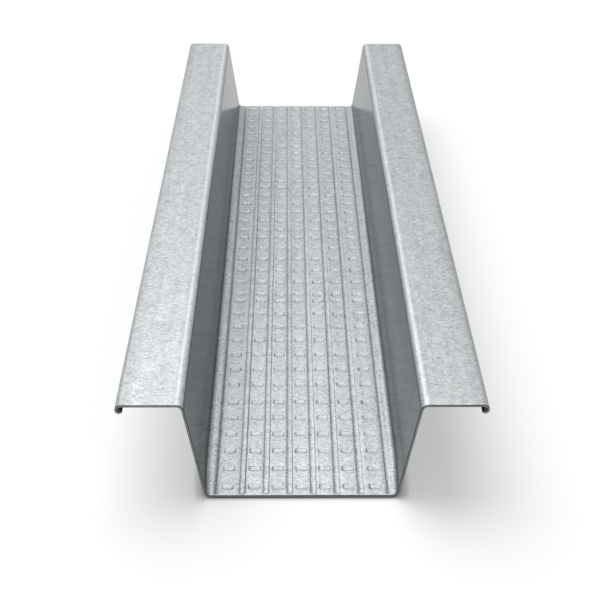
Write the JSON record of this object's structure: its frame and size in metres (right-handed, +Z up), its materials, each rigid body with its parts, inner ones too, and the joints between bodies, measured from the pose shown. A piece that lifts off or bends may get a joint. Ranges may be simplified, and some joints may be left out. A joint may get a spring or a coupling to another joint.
{
  "type": "furring channel",
  "caption": "Hat-shaped galvanised steel furring channel with a ribbed web, leaning walls and hemmed flanges, for carrying ceiling or wall lining boards.",
  "frame": {"origin": "centre of the underside: middle of the width and of the length, at the underside of the web's ribs", "axes": "+X across the section, +Y along the rolled length, +Z up from the web to the flanges"},
  "size_m": [0.08, 0.225, 0.026],
  "materials": {
    "galvanised_steel": "hot-dip galvanised, fine matt spangle, knurled web"
  },
  "bodies": {
    "root": {"channel": "galvanised_steel"}
  },
  "joints": []
}
